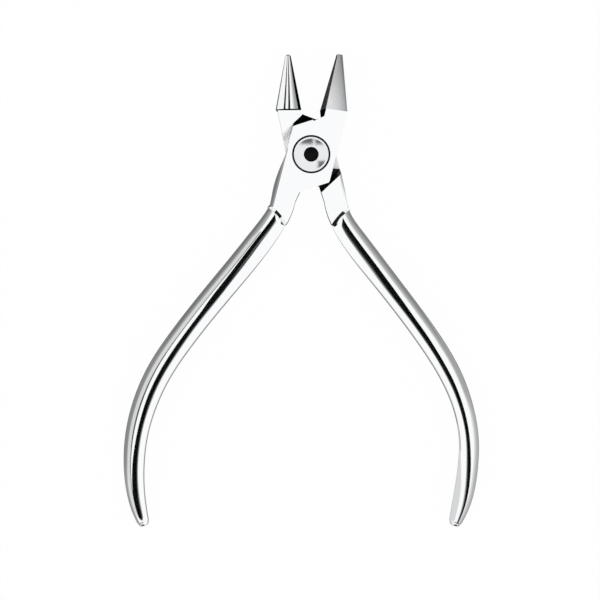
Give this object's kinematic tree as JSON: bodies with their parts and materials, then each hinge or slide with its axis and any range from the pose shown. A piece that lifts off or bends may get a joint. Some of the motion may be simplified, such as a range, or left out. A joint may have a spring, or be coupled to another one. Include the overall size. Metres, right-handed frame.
{
  "type": "orthodontic pliers",
  "caption": "Bird-beak orthodontic wire-bending pliers: two lapped steel arms on a pivot screw, one conical beak, one pyramidal beak, long bowed handles.",
  "frame": {"origin": "on the pivot axis, at the flat back face of the lap joint", "axes": "+Z along the pivot axis out of the screw head, +Y from the pivot towards the beak tips, halfway between the open arms, +X towards the pyramid beak"},
  "size_m": [0.094, 0.1265, 0.0078],
  "materials": {
    "polished_steel": "mirror polished stainless steel",
    "ground_steel": "fine ground, matte",
    "beak_steel": "mirror polished",
    "screw_steel": "fine turned"
  },
  "bodies": {
    "front": {"front_arm": "polished_steel", "pyramid_beak": "ground_steel"},
    "back": {"back_arm": "polished_steel", "round_beak": "beak_steel", "pivot_screw": "screw_steel", "lock_pin": "screw_steel"}
  },
  "joints": [
    {"name": "pivot", "type": "hinge", "parent": "front", "child": "back", "pos_m": [0, 0, 0], "axis": [0, 0, 1], "range_deg": [-25.3, 40]}
  ]
}
